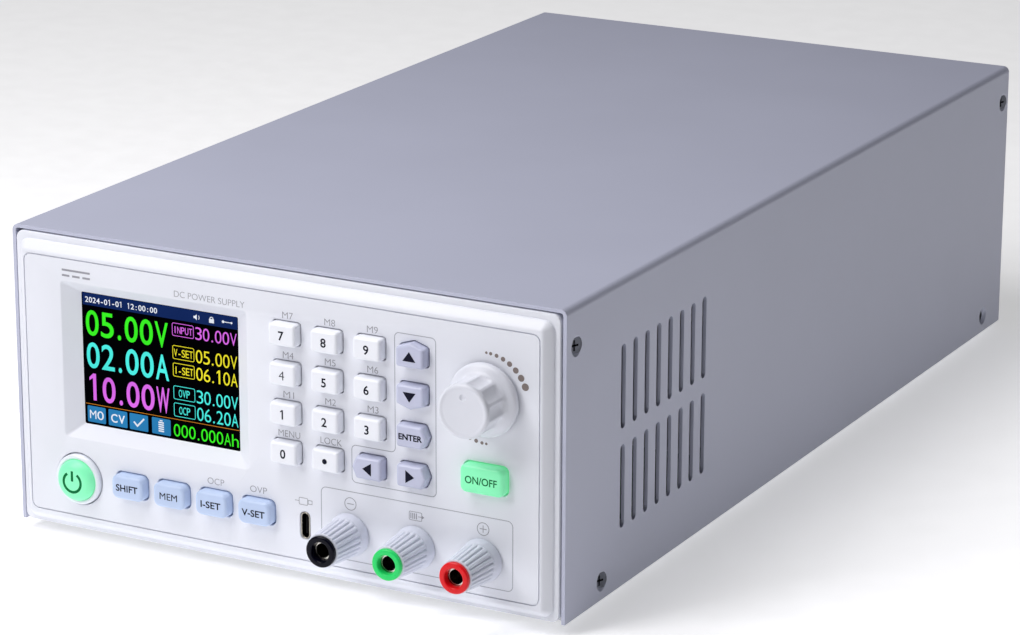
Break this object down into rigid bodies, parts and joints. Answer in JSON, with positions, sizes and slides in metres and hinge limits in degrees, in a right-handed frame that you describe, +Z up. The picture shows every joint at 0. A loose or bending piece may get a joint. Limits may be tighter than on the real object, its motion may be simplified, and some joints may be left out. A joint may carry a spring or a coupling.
{
  "type": "bench power supply",
  "caption": "Slim bench direct-current power supply in a metal case, with a colour display, lit keypad, push-and-turn knob and screw-down binding posts.",
  "frame": {"origin": "on the bench under the middle of the box that holds the whole object", "axes": "+Z up, the front panel faces -Y, +X to the right as seen from the front"},
  "size_m": [0.168, 0.3256, 0.087],
  "materials": {
    "cover_paint": "fine powder coat",
    "rear_paint": "fine powder coat",
    "chassis_steel": "zinc plated",
    "bezel_plastic": "fine texture",
    "display_glass": "glossy",
    "display_frame": "satin",
    "circuit_board": "solder mask",
    "switch_plastic": "moulded",
    "encoder_metal": "satin",
    "knob_plastic": "soft satin",
    "socket_shell": "plated",
    "number_key_plastic": "satin",
    "arrow_key_plastic": "satin",
    "function_key_plastic": "lit from behind",
    "output_key_plastic": "lit from behind",
    "button_white": "satin",
    "power_lens_plastic": "lit from behind",
    "post_plastic": "satin",
    "nickel_plate": "polished",
    "ring_black": "satin",
    "ring_green": "satin",
    "ring_red": "satin",
    "module_case": "satin",
    "heat_sink_aluminium": "satin",
    "capacitor_sleeve": "shrink sleeve",
    "choke_copper": "enamelled wire",
    "fan_plastic": "moulded",
    "screw_metal": "dark nickel",
    "inlet_plastic": "moulded",
    "foot_rubber": "matt",
    "wire_sleeve": "flexible sleeve",
    "ribbon_sleeve": "flexible sleeve"
  },
  "bodies": {
    "case": {"top_cover": "cover_paint", "bottom_chassis": "chassis_steel", "rear_panel": "rear_paint", "front_bezel": "bezel_plastic", "lcd_glass": "display_glass", "lcd_module": "display_frame", "control_board": "circuit_board", "key_switches": "switch_plastic", "encoder_body": "encoder_metal", "usb_socket": "socket_shell", "post_collars": "post_plastic", "post_studs": "nickel_plate", "main_board": "circuit_board", "board_standoffs": "nickel_plate", "mains_module": "module_case", "heat_sink": "heat_sink_aluminium", "capacitors": "capacitor_sleeve", "choke": "choke_copper", "fan_frame": "fan_plastic", "fan_screws": "screw_metal", "iec_inlet": "inlet_plastic", "rubber_feet": "foot_rubber", "cover_screws": "screw_metal", "output_wires": "wire_sleeve", "ribbon_cable": "ribbon_sleeve"},
    "key_0": {"key_0": "number_key_plastic"},
    "key_1": {"key_1": "number_key_plastic"},
    "key_2": {"key_2": "number_key_plastic"},
    "key_3": {"key_3": "number_key_plastic"},
    "key_4": {"key_4": "number_key_plastic"},
    "key_5": {"key_5": "number_key_plastic"},
    "key_6": {"key_6": "number_key_plastic"},
    "key_7": {"key_7": "number_key_plastic"},
    "key_8": {"key_8": "number_key_plastic"},
    "key_9": {"key_9": "number_key_plastic"},
    "key_point": {"key_point": "number_key_plastic"},
    "up_key": {"up_key": "arrow_key_plastic"},
    "down_key": {"down_key": "arrow_key_plastic"},
    "left_key": {"left_key": "arrow_key_plastic"},
    "right_key": {"right_key": "arrow_key_plastic"},
    "enter_key": {"enter_key": "arrow_key_plastic"},
    "shift_key": {"shift_key": "function_key_plastic"},
    "memory_key": {"memory_key": "function_key_plastic"},
    "current_key": {"current_key": "function_key_plastic"},
    "voltage_key": {"voltage_key": "function_key_plastic"},
    "output_key": {"output_key": "output_key_plastic"},
    "power_button": {"power_button_ring": "button_white", "power_button_lens": "power_lens_plastic"},
    "encoder_push": {"encoder_plunger": "switch_plastic"},
    "knob": {"tuning_knob": "knob_plastic", "encoder_shaft": "encoder_metal"},
    "negative_post_ring": {"negative_post_ring": "ring_black"},
    "negative_post_cap": {"negative_post_cap": "post_plastic"},
    "ground_post_ring": {"ground_post_ring": "ring_green"},
    "ground_post_cap": {"ground_post_cap": "post_plastic"},
    "positive_post_ring": {"positive_post_ring": "ring_red"},
    "positive_post_cap": {"positive_post_cap": "post_plastic"},
    "fan_rotor": {"fan_rotor": "fan_plastic"},
    "fuse_drawer": {"fuse_drawer": "inlet_plastic"}
  },
  "joints": [
    {"name": "key_0_press", "type": "slide", "parent": "case", "child": "key_0", "axis": [0, 1, 0], "range_m": [0, 0.0009], "stiffness_N_per_m": 150},
    {"name": "key_1_press", "type": "slide", "parent": "case", "child": "key_1", "axis": [0, 1, 0], "range_m": [0, 0.0009], "stiffness_N_per_m": 150},
    {"name": "key_2_press", "type": "slide", "parent": "case", "child": "key_2", "axis": [0, 1, 0], "range_m": [0, 0.0009], "stiffness_N_per_m": 150},
    {"name": "key_3_press", "type": "slide", "parent": "case", "child": "key_3", "axis": [0, 1, 0], "range_m": [0, 0.0009], "stiffness_N_per_m": 150},
    {"name": "key_4_press", "type": "slide", "parent": "case", "child": "key_4", "axis": [0, 1, 0], "range_m": [0, 0.0009], "stiffness_N_per_m": 150},
    {"name": "key_5_press", "type": "slide", "parent": "case", "child": "key_5", "axis": [0, 1, 0], "range_m": [0, 0.0009], "stiffness_N_per_m": 150},
    {"name": "key_6_press", "type": "slide", "parent": "case", "child": "key_6", "axis": [0, 1, 0], "range_m": [0, 0.0009], "stiffness_N_per_m": 150},
    {"name": "key_7_press", "type": "slide", "parent": "case", "child": "key_7", "axis": [0, 1, 0], "range_m": [0, 0.0009], "stiffness_N_per_m": 150},
    {"name": "key_8_press", "type": "slide", "parent": "case", "child": "key_8", "axis": [0, 1, 0], "range_m": [0, 0.0009], "stiffness_N_per_m": 150},
    {"name": "key_9_press", "type": "slide", "parent": "case", "child": "key_9", "axis": [0, 1, 0], "range_m": [0, 0.0009], "stiffness_N_per_m": 150},
    {"name": "key_point_press", "type": "slide", "parent": "case", "child": "key_point", "axis": [0, 1, 0], "range_m": [0, 0.0009], "stiffness_N_per_m": 150},
    {"name": "up_key_press", "type": "slide", "parent": "case", "child": "up_key", "axis": [0, 1, 0], "range_m": [0, 0.0009], "stiffness_N_per_m": 150},
    {"name": "down_key_press", "type": "slide", "parent": "case", "child": "down_key", "axis": [0, 1, 0], "range_m": [0, 0.0009], "stiffness_N_per_m": 150},
    {"name": "left_key_press", "type": "slide", "parent": "case", "child": "left_key", "axis": [0, 1, 0], "range_m": [0, 0.0009], "stiffness_N_per_m": 150},
    {"name": "right_key_press", "type": "slide", "parent": "case", "child": "right_key", "axis": [0, 1, 0], "range_m": [0, 0.0009], "stiffness_N_per_m": 150},
    {"name": "enter_key_press", "type": "slide", "parent": "case", "child": "enter_key", "axis": [0, 1, 0], "range_m": [0, 0.0009], "stiffness_N_per_m": 150},
    {"name": "shift_key_press", "type": "slide", "parent": "case", "child": "shift_key", "axis": [0, 1, 0], "range_m": [0, 0.0009], "stiffness_N_per_m": 150},
    {"name": "memory_key_press", "type": "slide", "parent": "case", "child": "memory_key", "axis": [0, 1, 0], "range_m": [0, 0.0009], "stiffness_N_per_m": 150},
    {"name": "current_key_press", "type": "slide", "parent": "case", "child": "current_key", "axis": [0, 1, 0], "range_m": [0, 0.0009], "stiffness_N_per_m": 150},
    {"name": "voltage_key_press", "type": "slide", "parent": "case", "child": "voltage_key", "axis": [0, 1, 0], "range_m": [0, 0.0009], "stiffness_N_per_m": 150},
    {"name": "output_key_press", "type": "slide", "parent": "case", "child": "output_key", "axis": [0, 1, 0], "range_m": [0, 0.0009], "stiffness_N_per_m": 150},
    {"name": "power_button_press", "type": "slide", "parent": "case", "child": "power_button", "axis": [0, 1, 0], "range_m": [0, 0.0009], "stiffness_N_per_m": 200},
    {"name": "knob_press", "type": "slide", "parent": "case", "child": "encoder_push", "axis": [0, 1, 0], "range_m": [0, 0.0005], "stiffness_N_per_m": 400},
    {"name": "knob_turn", "type": "hinge", "parent": "encoder_push", "child": "knob", "pos_m": [0.063, -0.14425, 0.0616], "axis": [0, 1, 0], "continuous": true},
    {"name": "negative_post_travel", "type": "slide", "parent": "case", "child": "negative_post_ring", "axis": [0, -1, 0], "range_m": [0, 0.004]},
    {"name": "negative_post_screw", "type": "hinge", "parent": "negative_post_ring", "child": "negative_post_cap", "pos_m": [0.0225, -0.14425, 0.0179], "axis": [0, -1, 0], "range_deg": [0, 1440]},
    {"name": "ground_post_travel", "type": "slide", "parent": "case", "child": "ground_post_ring", "axis": [0, -1, 0], "range_m": [0, 0.004]},
    {"name": "ground_post_screw", "type": "hinge", "parent": "ground_post_ring", "child": "ground_post_cap", "pos_m": [0.04215, -0.14425, 0.0179], "axis": [0, -1, 0], "range_deg": [0, 1440]},
    {"name": "positive_post_travel", "type": "slide", "parent": "case", "child": "positive_post_ring", "axis": [0, -1, 0], "range_m": [0, 0.004]},
    {"name": "positive_post_screw", "type": "hinge", "parent": "positive_post_ring", "child": "positive_post_cap", "pos_m": [0.0618, -0.14425, 0.0179], "axis": [0, -1, 0], "range_deg": [0, 1440]},
    {"name": "fan_spin", "type": "hinge", "parent": "case", "child": "fan_rotor", "pos_m": [-0.038, 0.14735, 0.045], "axis": [0, 1, 0], "continuous": true},
    {"name": "fuse_drawer_slide", "type": "slide", "parent": "case", "child": "fuse_drawer", "axis": [0, 1, 0], "range_m": [0, 0.015]}
  ],
  "couplings": [
    {"joint": "negative_post_screw", "follows": "negative_post_travel", "rad_per_m": 6283.2},
    {"joint": "ground_post_screw", "follows": "ground_post_travel", "rad_per_m": 6283.2},
    {"joint": "positive_post_screw", "follows": "positive_post_travel", "rad_per_m": 6283.2}
  ]
}
